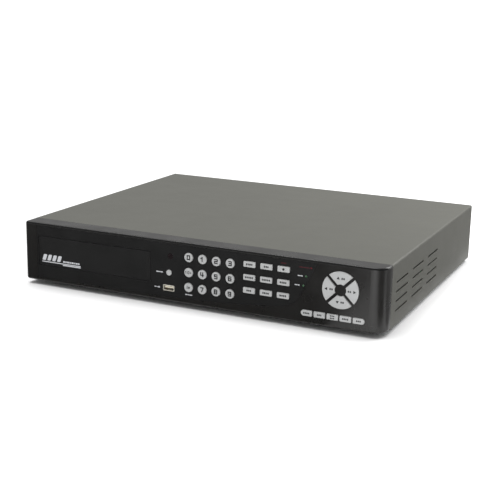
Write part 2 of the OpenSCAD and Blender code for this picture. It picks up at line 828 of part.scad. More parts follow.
module pan_screw() {
    // Head up along +Z from the seat, shank down, cross recess in the head
    crown = 0.6;
    recess = [3, 0.6, 2];
    difference() {
        union() {
            cylinder(d = screw_head[0], h = screw_head[1] - crown);
            translate([0, 0, screw_head[1] - crown]) cylinder(d = screw_head[0] - 2 * crown, h = crown);
        }
        for (turn = [0, 90]) rotate(turn)
            translate([-recess[0] / 2, -recess[1] / 2, screw_head[1] - recess[2] / 2]) cube(recess);
    }
    translate([0, 0, -screw_shank[1]]) cylinder(d = screw_shank[0], h = screw_shank[1] + eps);
}

module case_screws() {
    color("silver") {
        for (at = concat(rear_screws, fan_holes))
            translate([at[0], back_y, case_z + at[1]]) rotate([-90, 0, 0]) pan_screw();
        for (at = board_posts) translate([at[0], at[1], main_board_z + board_t]) pan_screw();
        for (at = drive_screws) translate([at[0], at[1], case_z]) rotate([180, 0, 0]) pan_screw();
        for (at = bezel_posts)
            translate([at[0], front_y + board_y + board_t, case_z + at[1]]) rotate([-90, 0, 0]) pan_screw();
        for (side = [-1, 1], y = bracket_screws)
            translate([fascia_at[0] + side * bracket_out, y, bracket_screw_z])
                rotate([0, side * 90, 0]) pan_screw();
    }
}

// ---------------------------------------------------------------- rear

function video_spots() = concat([for (z = jack_rows) [video_out_x, z]],
    [for (i = [0:video_columns - 1], z = jack_rows) [video_in_x + i * video_pitch, z]]);
function audio_spots() = [for (i = [0:2], z = audio_rows) [audio_x + i * audio_pitch, z]];

vga_cutout = [24, 12.4];
inlet_cutout = [27.6, 20.2];
rocker_cutout = [13.2, 19.4];
module vga_outline(grow) {
    w = vga_cutout[0] / 2 - 1.6 + grow;
    h = vga_cutout[1] / 2 - 1.4 + grow;
    polygon([[-w, h], [w, h], [w - 2, -h], [-w + 2, -h]]);
}

// Rings of slots that leave four spokes
module fan_grille() {
    slot = 3.2;
    bar = 1.6;
    spoke = 2.4;
    for (r = [6:slot + bar:fan_side / 2 - 3]) difference() {
        circle(r + slot / 2);
        circle(r - slot / 2);
        for (turn = [45, 135]) rotate(turn) square([2 * fan_side, spoke], center = true);
    }
}

module rear_panel() {
    color("#8a8b86") difference() {
        rear_slab(0, sheet) translate([-inner_half, 0.5])
            square([2 * inner_half, case_h - sheet - edge_drop - 0.5]);
        rear_slab(-1, sheet + 2) {
            for (at = video_spots()) translate(at) circle(d = jack_collar_d + panel_gap);
            for (at = audio_spots()) translate(at) circle(d = audio_collar_d + panel_gap);
            translate(vga_at) {
                vga_outline(0.6);
                for (side = [-1, 1])
                    translate([side * vga_screw_pitch / 2, 0]) circle(d = vga_pillar_d + panel_gap);
            }
            translate(lan_at) square([lan_size[0], lan_size[1]] + [panel_gap, panel_gap], center = true);
            translate(alarm_at) square(alarm_size + [panel_gap, panel_gap], center = true);
            translate(inlet_at) square(inlet_cutout, center = true);
            translate(rocker_at) square(rocker_cutout, center = true);
            translate(fan_at) fan_grille();
            screw_holes(concat(rear_screws, fan_holes));
        }
    }
}

// The block behind a jack: the lower one stands on the main board, the upper one on the lower
module housing(at, rows, width) {
    middle = (rows[0] + rows[1]) / 2;
    low = at[1] < middle ? board_top : middle + 0.1;
    high = at[1] < middle ? middle - 0.1 : at[1] + width / 2;
    translate([at[0] - width / 2, low]) square([width, high - low]);
}

module video_jack(at) {
    lug_d = 2;
    lug_out = 7;
    collar_out = 2.4;
    core_d = 4.8;
    pin_d = 1.4;
    core_sunk = 3;
    difference() {
        union() {
            rear_slab(-jack_len, jack_len + 1) translate(at) circle(d = jack_shell_d);
            rear_slab(-collar_out, collar_out + sheet + 1) translate(at) circle(d = jack_collar_d);
            rear_slab(sheet + 0.6, 15) housing(at, jack_rows, jack_block);
            translate([at[0], back_y + lug_out, case_z + at[1]]) rotate([0, 90, 0])
                cylinder(d = lug_d, h = jack_shell_d + 2, center = true, $fn = small_fn);
        }
        rear_slab(-jack_len - 1, jack_len - 1) translate(at) circle(d = jack_bore_d);
    }
    // Insulating core with the hole for the centre contact
    rear_slab(-jack_len + core_sunk, jack_len) translate(at) difference() {
        circle(d = core_d, $fn = small_fn);
        circle(d = pin_d, $fn = small_fn);
    }
}

module video_jacks() {
    color("silver") for (at = video_spots()) video_jack(at);
}

module audio_jack(at) {
    shell_len = 9;
    collar = 1.2;
    ring = [6.9, 5.2];
    socket_d = 3.3;
    block_w = 12;
    difference() {
        union() {
            rear_slab(-shell_len, shell_len + 1) translate(at) circle(d = audio_shell_d);
            rear_slab(-collar, 3) translate(at) circle(d = audio_collar_d);
            rear_slab(sheet + 0.6, 10) housing(at, audio_rows, block_w);
        }
        rear_slab(-shell_len - 1, shell_len) translate(at) difference() {
            circle(d = ring[0]);
            circle(d = ring[1]);
        }
        rear_slab(-shell_len - 1, shell_len) translate(at) circle(d = socket_d, $fn = small_fn);
    }
}

module audio_jacks() {
    color("silver") for (at = audio_spots()) audio_jack(at);
}

module vga_port() {
    flange = [31, 12.5];
    block_w = 24;
    block_top = 5.5;
    shell_out = 5.2;
    pillar_out = 4.5;
    insert_sunk = 0.8;
    pin_pitch = [2.3, 2];
    pin_d = 1;
    screw_d = 2.8;
    color("silver") difference() {
        union() {
            rear_slab(sheet + 0.2, 1) translate(vga_at) square(flange, center = true);
            rear_slab(sheet + 1, 10) translate([vga_at[0] - block_w / 2, board_top])
                square([block_w, vga_at[1] + block_top - board_top]);
            rear_slab(-shell_out, sheet + 6) translate(vga_at) vga_outline(0);
            for (side = [-1, 1]) rear_slab(-pillar_out, sheet + 5)
                translate(vga_at + [side * vga_screw_pitch / 2, 0]) circle(d = vga_pillar_d, $fn = 6);
        }
        rear_slab(-shell_out - 1, shell_out + 5) translate(vga_at) vga_outline(-0.5);
        for (side = [-1, 1]) rear_slab(-shell_out - 1, sheet + 7)
            translate(vga_at + [side * vga_screw_pitch / 2, 0]) circle(d = screw_d, $fn = small_fn);
    }
    // Insert with three rows of five contact holes, the middle row a little to one side
    color("royalblue") rear_slab(insert_sunk - shell_out, 10) translate(vga_at) difference() {
        vga_outline(-1.2);
        for (row = [-1:1], i = [-2:2])
            translate([pin_pitch[0] * (i + 0.26 * row), pin_pitch[1] * row]) circle(d = pin_d, $fn = 16);
    }
}

module lan_port() {
    proud = 1;
    cavity = 14;
    mouth = [11.8, 8.4];
    // Steps of the notch for the plug's latch: how far below the middle, width and height
    notches = [[4.8, [6.2, 3]], [6, [3.4, 2.4]]];
    color("silver") difference() {
        rear_slab(-proud, lan_size[2]) translate(lan_at) square([lan_size[0], lan_size[1]], center = true);
        rear_slab(-proud - 1, cavity + 1) translate(lan_at + [0, -1]) {
            square(mouth, center = true);
            for (notch = notches) translate([0, -notch[0]]) square(notch[1], center = true);
        }
    }
}

module alarm_terminal() {
    proud = 6;
    wire_mouth = [2.5, 3.4];
    wire_depth = 8;
    wire_down = 3;
    screw_d = 2.6;
    screw_up = 4;
    color("seagreen") difference() {
        rear_slab(-proud, 20) translate(alarm_at) square(alarm_size, center = true);
        for (i = [0:alarm_ways - 1]) {
            x = (i - (alarm_ways - 1) / 2) * alarm_pitch;
            rear_slab(-proud - 1, wire_depth + 1)
                translate(alarm_at + [x, -wire_down]) square(wire_mouth, center = true);
            rear_slab(-proud - 1, 3)
                translate(alarm_at + [x, screw_up]) circle(d = screw_d, $fn = small_fn);
        }
    }
}

inlet_mouth = [24.2, 16.4];
module inlet_outline() {
    half = inlet_mouth / 2;
    cut = 4.4;
    polygon([[-half[0], -half[1]], [half[0], -half[1]], [half[0], half[1] - cut],
             [half[0] - cut, half[1]], [-half[0] + cut, half[1]], [-half[0], half[1] - cut]]);
}

inlet_pins = [[-7, -2], [7, -2], [0, 2]];
module ac_inlet() {
    flange = [31, 25];
    flange_proud = 2.4;
    body_len = 20;
    cavity = 14;
    pin = [2, 4];
    pin_len = 22;
    color("#181818") difference() {
        union() {
            rear_slab(-flange_proud, flange_proud) translate(inlet_at) round_rect(flange, 2, 2);
            rear_slab(-0.1, body_len) translate(inlet_at) square(inlet_cutout - [0.6, 0.6], center = true);
        }
        rear_slab(-flange_proud - 1, cavity + flange_proud + 1) translate(inlet_at) inlet_outline();
    }
    color("silver") for (at = inlet_pins)
        rear_slab(0.5, pin_len) translate(inlet_at + at) square(pin, center = true);
}

pivot_in = 0.6;
rocker_w = 10.2;
rocker_half = 7.4;
rocker_rest = rocker_swing / 2;
rocker_face = 3;
trunnion_d = 2;
rocker_cavity = [rocker_w + 0.8, 17.2];
module switch_housing() {
    pivot = [rocker_at[0], back_y - pivot_in, case_z + rocker_at[1]];
    rim = [15, 21];
    rim_proud = 2;
    rim_r = 1.2;
    body_len = 14;
    cavity = 6;
    blade = [0.8, 4.8];
    blade_len = 8;
    color("#181818") difference() {
        union() {
            rear_slab(-rim_proud, rim_proud) translate(rocker_at) round_rect(rim, rim_r, rim_r);
            rear_slab(-0.1, body_len) translate(rocker_at) square(rocker_cutout - [0.4, 0.4], center = true);
        }
        rear_slab(-rim_proud - 1, cavity + rim_proud + 1)
            translate(rocker_at) square(rocker_cavity, center = true);
        translate(pivot) rotate([0, 90, 0])
            cylinder(d = trunnion_d + 0.1, h = rocker_cutout[0] - 1, center = true);
    }
    // Three terminal blades at the back
    color("silver") for (z = [-6, 0, 6])
        rear_slab(body_len - 1, blade_len) translate(rocker_at + [0, z]) square(blade, center = true);
}

// A rocker with a shallow V for its face and a blunt keel behind, on two trunnions
module power_rocker() {
    rise = rocker_half * tan(rocker_rest);
    keel = 2.4;
    trunnion_out = 0.8;
    color("#141414") translate([rocker_at[0], back_y - pivot_in, case_z + rocker_at[1]])
        rotate([rocker_rest, 0, 0]) {
            rotate([90, 0, 90]) linear_extrude(rocker_w, center = true)
                polygon([[rocker_face, 0], [rocker_face + rise, rocker_half], [keel, rocker_half],
                         [-keel, keel], [-keel, -keel], [keel, -rocker_half],
                         [rocker_face + rise, -rocker_half]]);
            rotate([0, 90, 0]) cylinder(d = trunnion_d, h = rocker_w + 2 * trunnion_out, center = true);
        }
}

fan_bore = fan_side - 3.4;
fan_front = sheet + 0.2;
fan_shaft_d = 3;
fan_hub_d = 22;
module fan_frame() {
    corner = 3;
    spoke = [fan_bore + 1, 3];
    seat = 2.4;
    color("#1e1e1e") difference() {
        rear_slab(fan_front, fan_d) translate(fan_at) round_rect([fan_side, fan_side], corner, corner);
        rear_slab(fan_front - 1, fan_d + 2) translate(fan_at) circle(d = fan_bore);
        rear_slab(fan_front - 1, fan_d + 2) screw_holes(fan_holes);
    }
    // Motor seat on four spokes on the inner side, and the shaft that the rotor turns on
    color("#1e1e1e") rear_slab(fan_front + fan_d - seat, seat) translate(fan_at) {
        circle(d = fan_hub_d);
        for (turn = [45, 135]) rotate(turn) square(spoke, center = true);
    }
    color("silver") rear_slab(fan_front + 3, fan_d - 4) translate(fan_at) circle(d = fan_shaft_d);
}

fan_blades = 7;
module fan_rotor() {
    hub = 9.5;
    blade_twist = 38;
    blade = [1.2, 16];
    blade_centre = 6;
    cup_wall = 1.5;
    cup_floor = 3;
    boss_d = fan_shaft_d + 4;
    rotor_r = fan_bore / 2 - 0.7;
    color("#26262a") difference() {
        union() {
            rear_slab(fan_front + 1, hub) translate(fan_at) circle(d = fan_hub_d);
            intersection() {
                rear_slab(fan_front + 1.2, hub) translate(fan_at) circle(r = rotor_r);
                translate([fan_at[0], back_y - fan_front - blade_centre, case_z + fan_at[1]])
                    for (i = [0:fan_blades - 1]) rotate([0, i * 360 / fan_blades, 0])
                        translate([0, 0, rotor_r / 2 + 4]) rotate([0, 0, blade_twist])
                            cube([blade[0], blade[1], rotor_r], center = true);
            }
        }
        rear_slab(fan_front, hub + 3) translate(fan_at) circle(d = fan_shaft_d + 0.1);
        // Cup that covers the motor
        rear_slab(fan_front + cup_floor, hub) translate(fan_at) difference() {
            circle(d = fan_hub_d - 2 * cup_wall);
            circle(d = boss_d);
        }
    }
}

for (key = KEYS) push_key(key);
front_bezel();
front_overlay();
top_cover();
chassis_base();
rear_panel();
rubber_feet();
case_screws();
key_board();
indicator_leds();
ir_window();
front_usb_port();
tray_fascia();
disc_tray();
optical_drive();
drive_bracket();
hard_drive();
main_board();
power_supply();
cable_harness();
video_jacks();
audio_jacks();
vga_port();
lan_port();
alarm_terminal();
ac_inlet();
switch_housing();
power_rocker();
fan_frame();
fan_rotor();
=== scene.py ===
"""Looks of the digital video recorder: finishes, printed marks, fittings, stage and camera."""

import math

import bmesh
import bpy
from mathutils import Matrix, Vector


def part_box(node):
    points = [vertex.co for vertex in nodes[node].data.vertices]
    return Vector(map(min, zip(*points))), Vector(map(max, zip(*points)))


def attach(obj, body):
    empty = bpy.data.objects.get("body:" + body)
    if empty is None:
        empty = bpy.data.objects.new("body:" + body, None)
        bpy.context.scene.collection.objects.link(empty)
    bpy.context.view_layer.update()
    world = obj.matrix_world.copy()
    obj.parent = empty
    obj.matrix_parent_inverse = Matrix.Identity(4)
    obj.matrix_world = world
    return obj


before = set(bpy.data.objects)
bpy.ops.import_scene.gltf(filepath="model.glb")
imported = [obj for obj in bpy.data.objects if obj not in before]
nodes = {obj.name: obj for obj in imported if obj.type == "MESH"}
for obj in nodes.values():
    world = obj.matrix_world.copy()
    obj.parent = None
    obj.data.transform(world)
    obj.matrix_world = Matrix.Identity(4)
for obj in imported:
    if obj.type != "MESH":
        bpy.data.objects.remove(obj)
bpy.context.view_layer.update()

MM = 0.001
FRONT = -1  # a printed face that looks along -Y
REAR = 1  # a printed face that looks along +Y


def low(node):
    """The lowest corner of a CAD node, in millimetres."""
    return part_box(node)[0] / MM


def high(node):
    """The highest corner of a CAD node, in millimetres."""
    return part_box(node)[1] / MM


def middle(node):
    """The middle of a CAD node's box, in millimetres."""
    return (low(node) + high(node)) / 2


front_y = low("front_bezel").y
case_z = low("chassis_base").z
rear_y = high("rear_panel").y


def shade(red, green, blue):
    """A display colour, 0 to 255 a channel, as the linear colour that a shader takes."""

    def linear(level):
        share = level / 255
        return share / 12.92 if share <= 0.04045 else ((share + 0.055) / 1.055) ** 2.4

    return linear(red), linear(green), linear(blue), 1.0


# ---------------------------------------------------------------- finishes


class Finish:
    """A material in the making: its shader, and short calls for the nodes that vary it."""

    def __init__(self, name, **constants):
        self.material = bpy.data.materials.new(name)
        self.material.use_nodes = True
        self.tree = self.material.node_tree
        self.shader = self.tree.nodes["Principled BSDF"]
        for socket, value in constants.items():
            self.shader.inputs[socket.replace("_", " ")].default_value = value
        self.place = self.node("ShaderNodeTexCoord", out="Object")

    def put(self, socket, value):
        if isinstance(value, bpy.types.NodeSocket):
            self.tree.links.new(value, socket)
        elif value is not None:
            socket.default_value = value

    def node(self, kind, *inputs, out=0, named=None, **settings):
        """A new node's output. inputs fill its sockets in order, named fills them by name."""
        made = self.tree.nodes.new(kind)
        for key, value in settings.items():
            setattr(made, key, value)
        for socket, value in zip(made.inputs, inputs):
            self.put(socket, value)
        for key, value in (named or {}).items():
            self.put(made.inputs[key], value)
        return made.outputs[out]

    def stretched(self, stretch):
        return self.node("ShaderNodeVectorMath", self.place, stretch, operation="MULTIPLY")

    def noise(self, size, detail, stretch=(1, 1, 1)):
        """Cloudy variation from 0 to 1, with features about size millimetres across."""
        named = {"Vector": self.stretched(stretch), "Scale": 1 / (size * MM), "Detail": detail}
        return self.node("ShaderNodeTexNoise", named=named)

    def cells(self, size, out="Distance", stretch=(1, 1, 1)):
        """A cell pattern with cells about size millimetres across."""
        named = {"Vector": self.stretched(stretch), "Scale": 1 / (size * MM)}
        return self.node("ShaderNodeTexVoronoi", out=out, named=named)

    def fit(self, value, start, end, to_start=0.0, to_end=1.0):
        return self.node("ShaderNodeMapRange", value, start, end, to_start, to_end)

    def maths(self, operation, first, second):
        return self.node("ShaderNodeMath", first, second, operation=operation)

    def blend(self, share, first, second):
        made = self.tree.nodes.new("ShaderNodeMix")
        made.data_type = "RGBA"
        for index, value in ((0, share), (6, first), (7, second)):
            self.put(made.inputs[index], value)
        return made.outputs[2]

    def toned(self, colour, tone):
        """colour made lighter or darker by tone, which is about 1."""
        return self.node("ShaderNodeHueSaturation", named={"Value": tone, "Color": colour})

    def edges(self, radius):
        """0 on open surfaces, and 1 where they turn a corner within radius millimetres."""
        turned = self.node("ShaderNodeBevel", radius * MM, samples=4)
        straight = self.node("ShaderNodeNewGeometry", out="Normal")
        along = self.node("ShaderNodeVectorMath", turned, straight, out="Value",
                          operation="DOT_PRODUCT")
        return self.fit(along, 0.98, 0.86)

    def relief(self, height, depth, normal=None):
        """The surface normal with bumps depth millimetres deep."""
        named = {"Strength": 1.0, "Distance": depth * MM, "Height": height, "Normal": normal}
        return self.node("ShaderNodeBump", named=named)

    def finish(self, colour, rough, normal):
        self.put(self.shader.inputs["Base Color"], colour)
        self.put(self.shader.inputs["Roughness"], rough)
        self.put(self.shader.inputs["Normal"], normal)
        return self.material


def moulded(name, colour, rough, grain=0.6, depth=0.012, spread=0.07, edge_tint=None, edge_tint_share=0.5,
            **constants):
    """Moulded plastic: a spark-eroded grain, faint flow clouds, and paler, polished edges; on the
    keys the paler rims are also a painted highlight.
    """
    handled = 0.05  # how far hands have evened out or roughened the gloss
    f = Finish(name, **constants)
    clouds = f.fit(f.noise(45, 3), 0.3, 0.7, 1 - spread, 1 + spread)
    fleck = f.fit(f.noise(grain * 1.6, 2), 0.3, 0.7, 1 - spread / 2, 1 + spread / 2)
    body = f.toned(f.toned(colour, clouds), fleck)
    # Paler edges: scuffing on most plastics, and on the keys partly a painted highlight along the
    # rims.
    tinted_edges = f.maths("MULTIPLY", f.edges(0.5), f.fit(f.noise(7, 4), 0.42, 0.62, 0.1, edge_tint_share))
    body = f.blend(tinted_edges, body, edge_tint or tuple(min(1, c * 2.2 + 0.01) for c in colour[:3]) + (1,))
    patches = f.fit(f.noise(22, 4), 0.35, 0.65, rough - handled, rough + handled)
    rough = f.maths("SUBTRACT", patches, f.maths("MULTIPLY", tinted_edges, 0.1))
    rounded = f.node("ShaderNodeBevel", 0.22 * MM, samples=4)
    wavy = f.relief(f.noise(28, 1), depth * 3, rounded)
    return f.finish(body, rough, f.relief(f.noise(grain, 2), depth, wavy))


def coated(name, colour, rough, **constants):
    """Powder-coated steel sheet: fine orange peel, faint streaks, and metal showing at the scuffed
    edges.
    """
    grain, depth, spread = 0.9, 0.03, 0.02
    edge_tint, edge_tint_share = shade(168, 166, 160), 0.3
    f = Finish(name, **constants)
    clouds = f.fit(f.noise(90, 3), 0.3, 0.7, 1 - spread, 1 + spread)
    specks = f.fit(f.noise(grain * 0.8, 2), 0.25, 0.75, 1 - 2 * spread, 1 + 2 * spread)
    streaks = f.fit(f.noise(30, 4, stretch=(1, 0.08, 1)), 0.35, 0.65, 0.99, 1.01)
    body = f.toned(f.toned(f.toned(colour, clouds), specks), streaks)
    tinted_edges = f.maths("MULTIPLY", f.edges(0.45), f.fit(f.noise(9, 5), 0.48, 0.66, 0.0, edge_tint_share))
    body = f.blend(tinted_edges, body, edge_tint)
    patches = f.fit(f.noise(35, 4), 0.35, 0.65, rough - 0.02, rough + 0.02)
    rounded = f.node("ShaderNodeBevel", 0.25 * MM, samples=4)
    peel = f.relief(f.noise(grain * 5, 1), depth * 0.8, rounded)
    return f.finish(body, patches, f.relief(f.noise(grain, 3), depth, peel))


def metal(name, colour, rough, grain, brushed=(1, 1, 1), depth=0.004, spangle=0.0,
          metallic=1.0):
    """Bare or plated metal: brushing or zinc spangle, finger-dulled patches and bright edges."""
    f = Finish(name, Metallic=metallic)
    clouds = f.fit(f.noise(20, 4), 0.3, 0.7, 0.9, 1.1)
    body = f.toned(colour, clouds)
    if spangle:
        flakes = f.node("ShaderNodeSeparateColor", f.cells(6, out="Color"))
        body = f.toned(body, f.fit(flakes, 0, 1, 1 - spangle, 1 + spangle))
    lines = f.noise(grain, 3, stretch=brushed)
    body = f.blend(f.maths("MULTIPLY", f.edges(0.3), 0.5), body,
                   tuple(min(1, c * 1.3) for c in colour[:3]) + (1,))
    patches = f.fit(f.noise(9, 5), 0.35, 0.65, rough - 0.06, rough + 0.08)
    rough = f.maths("ADD", patches, f.fit(lines, 0.3, 0.7, -0.04, 0.06))
    rounded = f.node("ShaderNodeBevel", 0.12 * MM, samples=4)
    return f.finish(body, rough, f.relief(lines, depth, rounded))


def printed_board(name, colour):
    """Solder mask over copper: square runs of track, rows of pads, and a glassy lacquer."""
    f = Finish(name, Coat_Weight=0.4, Coat_Roughness=0.2)
    runs = f.node("ShaderNodeTexBrick", named={
        "Vector": f.place, "Color1": (1, 1, 1, 1), "Color2": (0.55, 0.55, 0.55, 1),
        "Mortar": (0, 0, 0, 1), "Scale": 1 / (7 * MM) / 4, "Mortar Size": 0.015})
    tracks = f.node("ShaderNodeSeparateColor", runs)
    copper = f.toned(colour, f.fit(tracks, 0, 1, 1.35, 0.95))
    pads = f.fit(f.cells(2.6), 0.16, 0.12)
    body = f.blend(pads, copper, shade(196, 176, 120))
    body = f.toned(body, f.fit(f.noise(30, 3), 0.3, 0.7, 0.9, 1.1))
    rough = f.fit(f.noise(4, 3), 0.3, 0.7, 0.32, 0.5)
    return f.finish(body, rough, f.relief(tracks, 0.03))


def woven(name, colour):
    """A braided sleeve over a bundle of leads."""
    f = Finish(name, Sheen_Weight=0.2)
    braid = f.cells(0.9, stretch=(1, 0.6, 1))
    body = f.toned(colour, f.fit(braid, 0, 0.8, 1.25, 0.7))
    rough = f.fit(f.noise(6, 3), 0.3, 0.7, 0.6, 0.8)
    return f.finish(body, rough, f.relief(braid, 0.12))


def lens(name, colour, clear, rough=0.12):
    """A tinted, moulded lens with a slightly cloudy body."""
    f = Finish(name, Transmission_Weight=clear, IOR=1.49)
    body = f.toned(colour, f.fit(f.noise(1.2, 3), 0.3, 0.7, 0.85, 1.15))
    haze = f.fit(f.noise(0.7, 3), 0.3, 0.7, rough, rough + 0.12)
    rounded = f.node("ShaderNodeBevel", 0.15 * MM, samples=4)
    return f.finish(body, haze, f.relief(f.noise(0.5, 2), 0.006, rounded))


def ink(name, colour):
    """Screen-printed ink: a slightly uneven, matt film."""
    f = Finish(name)
    body = f.toned(colour, f.fit(f.noise(0.35, 2), 0.3, 0.7, 0.92, 1.06))
    rough = f.fit(f.noise(0.6, 2), 0.3, 0.7, 0.5, 0.68)
    return f.finish(body, rough, f.relief(f.noise(0.18, 2), 0.004))


BLACK = shade(30, 30, 31)
finishes = {
    # The keys' paler rims are partly scuffing and partly a painted highlight, standing in for the
    # light that the rounded rims catch.
    "key_plastic": moulded("key_plastic", shade(183, 184, 184), 0.34, grain=0.4, depth=0.004,
                           spread=0.03, edge_tint=shade(232, 232, 228), edge_tint_share=0.4),
    "bezel_plastic": moulded("bezel_plastic", shade(33, 32, 31), 0.31, depth=0.006,
                             edge_tint=shade(52, 52, 54), edge_tint_share=0.2, Specular_IOR_Level=0.5),
    "overlay_plastic": moulded("overlay_plastic", shade(33, 33, 33), 0.36, grain=0.35,
                               depth=0.004, edge_tint=shade(44, 44, 46), Specular_IOR_Level=0.35),
    "fascia_plastic": moulded("fascia_plastic", shade(36, 36, 36), 0.36, depth=0.006,
                              edge_tint=shade(56, 56, 58), Specular_IOR_Level=0.35),
    "cover_paint": coated("cover_paint", shade(86, 86, 80), 0.48, Specular_IOR_Level=0.36),
    "rear_paint": coated("rear_paint", shade(118, 118, 113), 0.5),
    "zinc_steel": metal("zinc_steel", shade(186, 188, 190), 0.38, spangle=0.12, grain=1.0),
    "screw_steel": metal("screw_steel", shade(176, 174, 168), 0.3, grain=0.3),
    "connector_steel": metal("connector_steel", shade(214, 212, 206), 0.4, grain=0.4,
                             brushed=(1, 0.15, 1)),
    "jack_nickel": metal("jack_nickel", shade(204, 202, 196), 0.22, grain=0.35,
                         brushed=(1, 0.1, 1)),
    "drive_casting": metal("drive_casting", shade(150, 151, 153), 0.52, grain=0.8, depth=0.02),
    "drive_case": metal("drive_case", shade(168, 170, 172), 0.36, grain=0.6,
                        brushed=(0.1, 1, 1)),
    "foot_rubber": moulded("foot_rubber", shade(34, 34, 33), 0.78, grain=1.1, depth=0.03,
                           edge_tint=shade(70, 69, 66), edge_tint_share=0.7),
    "tray_plastic": moulded("tray_plastic", shade(40, 41, 43), 0.5, depth=0.012,
                            edge_tint=shade(92, 93, 95)),
    "audio_plastic": moulded("audio_plastic", BLACK, 0.42, edge_tint=shade(80, 80, 82)),
    "terminal_plastic": moulded("terminal_plastic", shade(46, 128, 78), 0.4,
                                edge_tint=shade(110, 172, 134)),
    "inlet_plastic": moulded("inlet_plastic", BLACK, 0.4, edge_tint=shade(82, 82, 84)),
    "rocker_plastic": moulded("rocker_plastic", shade(26, 26, 27), 0.3, edge_tint=shade(78, 78, 80)),
    "fan_plastic": moulded("fan_plastic", shade(32, 32, 34), 0.42, edge_tint=shade(84, 84, 86)),
    "circuit_board": printed_board("circuit_board", shade(28, 92, 58)),
    "supply_board": printed_board("supply_board", shade(142, 112, 66)),
    "lead_sleeve": woven("lead_sleeve", shade(44, 44, 48)),
    "led_lens": lens("led_lens", shade(84, 128, 92), 0.3),
    "ir_lens": lens("ir_lens", shade(36, 29, 31), 0.1, rough=0.16),
}
red_lens = lens("red_lens", shade(96, 18, 30), 0.25)
white_ink = ink("white_ink", shade(206, 208, 212))
grey_ink = ink("grey_ink", shade(22, 22, 24))
rear_ink = ink("rear_ink", shade(232, 232, 228))
label_paper = moulded("label_paper", shade(206, 206, 200), 0.5, grain=0.3, depth=0.003,
                      spread=0.04, edge_tint=shade(168, 164, 154))
red_ink = ink("red_ink", shade(78, 16, 28))
blue_plastic = moulded("blue_plastic", shade(36, 62, 140), 0.4, grain=0.3)
cream_plastic = moulded("cream_plastic", shade(240, 232, 210), 0.4, grain=0.3, spread=0.03)
black_plastic = moulded("black_plastic", BLACK, 0.4, grain=0.4)
red_plastic = moulded("red_plastic", shade(176, 34, 30), 0.38, grain=0.3)
gold_contact = metal("gold_contact", shade(226, 186, 104), 0.24, grain=0.2)
brass_pin = metal("brass_pin", shade(204, 190, 150), 0.26, grain=0.3)
# Painted shade: a darker, duller black for the rounding along the bezel's upper front edge, standing
# in for a dark line of shade there.
painted_shade_edge = moulded("painted_shade_edge", shade(19, 19, 19), 0.6, depth=0.004,
                       edge_tint=shade(30, 30, 31), edge_tint_share=0.2, Specular_IOR_Level=0.12)
tin_plate = metal("tin_plate", shade(226, 222, 208), 0.45, grain=0.4, metallic=0.5)


def dress():
    """Gives each CAD node the finish of its record slot."""
    for node in nodes.values():
        slot = node.data.materials[0].name
        node.data.materials.clear()
        node.data.materials.append(finishes[slot])


def repaint(name, material, chosen):
    """Gives the faces of a CAD node whose middle passes a test, in millimetres, another finish."""
    mesh = nodes[name].data
    mesh.materials.append(material)
    for face in mesh.polygons:
        if chosen(face.center / MM, face.normal):
            face.material_index = len(mesh.materials) - 1


RED_LAMP_FROM = 133.5  # the red lamp lies past this x, and the green ones before it


def paint_front():
    """The red lamp, and a painted shade line: a darker, duller black along the bezel's upper front
    edge.
    """
    repaint("indicator_leds", red_lens, lambda at, normal: at.x > RED_LAMP_FROM)
    # Painted shade on the faces of the upper front rounding.
    repaint("front_bezel", painted_shade_edge,
            lambda at, normal: normal.y < -0.3 and 0.3 < normal.z < 0.86)


# ---------------------------------------------------------------- pieces


def piece(name, shape, material, body="case"):
    """A new piece of the object from a bmesh in metres, riding on a CAD body."""
    mesh = bpy.data.meshes.new(name)
    bmesh.ops.recalc_face_normals(shape, faces=shape.faces)
    shape.to_mesh(mesh)
    shape.free()
    mesh.materials.append(material)
    mesh.shade_smooth()
    mesh.set_sharp_from_angle(angle=math.radians(35))
    made = bpy.data.objects.new(name, mesh)
    bpy.context.scene.collection.objects.link(made)
    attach(made, body)
    return made


def prism(shape, outline, near_y, far_y):
    """Adds the solid that an outline in (x, z) makes between two y values, in millimetres."""
    rings = [[shape.verts.new((x * MM, y * MM, z * MM)) for x, z in outline]
             for y in (near_y, far_y)]
    shape.faces.new(rings[0])
    shape.faces.new(rings[1][::-1])
    count = len(outline)
    for i in range(count):
        j = (i + 1) % count
        shape.faces.new((rings[0][i], rings[1][i], rings[1][j], rings[0][j]))


def lathe(shape, profile, axis_x, axis_z, sides=24):
    """Adds the solid that a closed profile of (radius, y) makes round a line along Y."""
    rings = []
    for i in range(sides):
        turn = 2 * math.pi * i / sides
        rings.append([shape.verts.new(((axis_x + r * math.cos(turn)) * MM, y * MM,
                                       (axis_z + r * math.sin(turn)) * MM)) for r, y in profile])
    for i in range(sides):
        here, there = rings[i], rings[(i + 1) % sides]
        for j in range(len(profile)):
            k = (j + 1) % len(profile)
            shape.faces.new((here[j], here[k], there[k], there[j]))


# ---------------------------------------------------------------- printed marks

INK_T = 0.02  # how far the ink stands proud


def stroke(x, z, width, height, lean=0.0):
    """A bar round (x, z) with clipped corners, its top moved sideways by lean."""
    w, h = width / 2, height / 2
    c = min(w, h) * 0.35
    corners = [(-w + c, -h), (w - c, -h), (w, -h + c), (w, h - c), (w - c, h), (-w + c, h),
               (-w, h - c), (-w, -h + c)]
    return [(x + u + lean * v / height, z + v) for u, v in corners]


def triangle(x, z, size, turn):
    """A triangle round (x, z) that points along turn degrees, 0 to the right and 90 up."""
    points = []
    for corner in range(3):
        angle = math.radians(turn + 120 * corner)
        points.append((x + size * math.cos(angle), z + size * math.sin(angle)))
    return points


def disc(x, z, radius):
    sides = 20
    return [(x + radius * math.cos(2 * math.pi * i / sides),
             z + radius * math.sin(2 * math.pi * i / sides)) for i in range(sides)]


